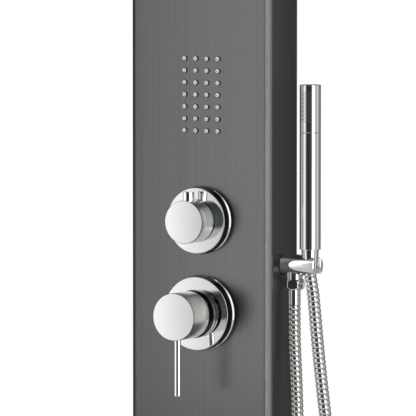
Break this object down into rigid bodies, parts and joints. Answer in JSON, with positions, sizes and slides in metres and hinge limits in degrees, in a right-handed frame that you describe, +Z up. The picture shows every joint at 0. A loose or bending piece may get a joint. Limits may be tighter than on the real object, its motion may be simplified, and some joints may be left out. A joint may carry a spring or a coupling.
{
  "type": "shower panel",
  "caption": "Wall-hung brushed metal shower panel with body jets, a diverter knob, a lever mixer and a slim hand shower on a ribbed hose in a side holder.",
  "frame": {"origin": "centre of the four wall screw holes, in the plane of the wall", "axes": "+X to the right of someone facing the panel, +Y back into the wall, +Z up"},
  "size_m": [0.3915, 0.1325, 1.2087],
  "materials": {
    "brushed_panel": "brushed top to bottom",
    "zinc_steel": "zinc plated",
    "silicone": "soft matte",
    "inner_plastic": "moulded",
    "brass": "cast and machined",
    "copper": "drawn copper",
    "chrome": "polished plating",
    "hose_metal": "wound and plated",
    "black_rubber": "matte"
  },
  "bodies": {
    "panel": {"front_panel": "brushed_panel", "top_cap": "brushed_panel", "bottom_cap": "brushed_panel", "hanger_rail_upper": "zinc_steel", "hanger_rail_lower": "zinc_steel", "wall_bracket_upper": "zinc_steel", "wall_bracket_lower": "zinc_steel", "jet_studs": "zinc_steel", "jet_nuts": "zinc_steel", "nozzle_mat": "silicone", "jet_manifold": "inner_plastic", "diverter_cartridge": "inner_plastic", "mixer_cartridge": "inner_plastic", "check_valves": "inner_plastic", "diverter_body": "brass", "diverter_locknut": "brass", "mixer_body": "brass", "mixer_locknut": "brass", "holder_locknut": "brass", "mixer_to_diverter_pipe": "copper", "diverter_to_jets_pipe": "copper", "diverter_to_holder_pipe": "copper", "diverter_plate": "chrome", "mixer_plate": "chrome", "mixer_collar": "chrome", "holder_arm": "chrome", "hose_union_nut": "chrome", "outlet_ferrule": "chrome", "diverter_gland_nut": "chrome", "mixer_gland_nut": "chrome", "shower_hose": "hose_metal", "diverter_plate_seal": "black_rubber", "mixer_plate_seal": "black_rubber", "holder_washer": "black_rubber", "outlet_seal": "black_rubber"},
    "mixer_rotor": {"mixer_yoke": "brass", "mixer_pin": "zinc_steel"},
    "mixer_handle": {"mixer_stem": "brass", "mixer_cap": "chrome", "mixer_lever": "chrome"},
    "diverter_rotor": {"diverter_spindle": "brass", "diverter_knob": "chrome", "diverter_peg": "chrome"},
    "hose_end": {"handset_ferrule": "chrome"},
    "handset": {"cone_nut": "chrome", "handset_seal": "black_rubber", "wand_plug": "inner_plastic", "wand_handle": "chrome", "wand_water_tube": "inner_plastic", "wand_coupling": "inner_plastic", "wand_head": "chrome", "spray_insert": "chrome"}
  },
  "joints": [
    {"name": "mixer_temperature", "type": "hinge", "parent": "panel", "child": "mixer_rotor", "pos_m": [0.003, -0.076, 0.03], "axis": [0, 1, 0], "range_deg": [-45, 45]},
    {"name": "mixer_flow", "type": "hinge", "parent": "mixer_rotor", "child": "mixer_handle", "pos_m": [0.003, -0.1, 0.03], "axis": [-1, 0, 0], "range_deg": [0, 12]},
    {"name": "diverter_turn", "type": "hinge", "parent": "panel", "child": "diverter_rotor", "pos_m": [0.003, -0.076, 0.14], "axis": [0, 1, 0], "range_deg": [-90, 90]},
    {"name": "handset_lift", "type": "slide", "parent": "panel", "child": "hose_end", "axis": [0, 0, 1], "range_m": [0, 0.03]},
    {"name": "handset_turn", "type": "hinge", "parent": "hose_end", "child": "handset", "pos_m": [0.13, -0.031, 0.1], "axis": [0, 0, 1], "range_deg": [-90, 90]}
  ]
}
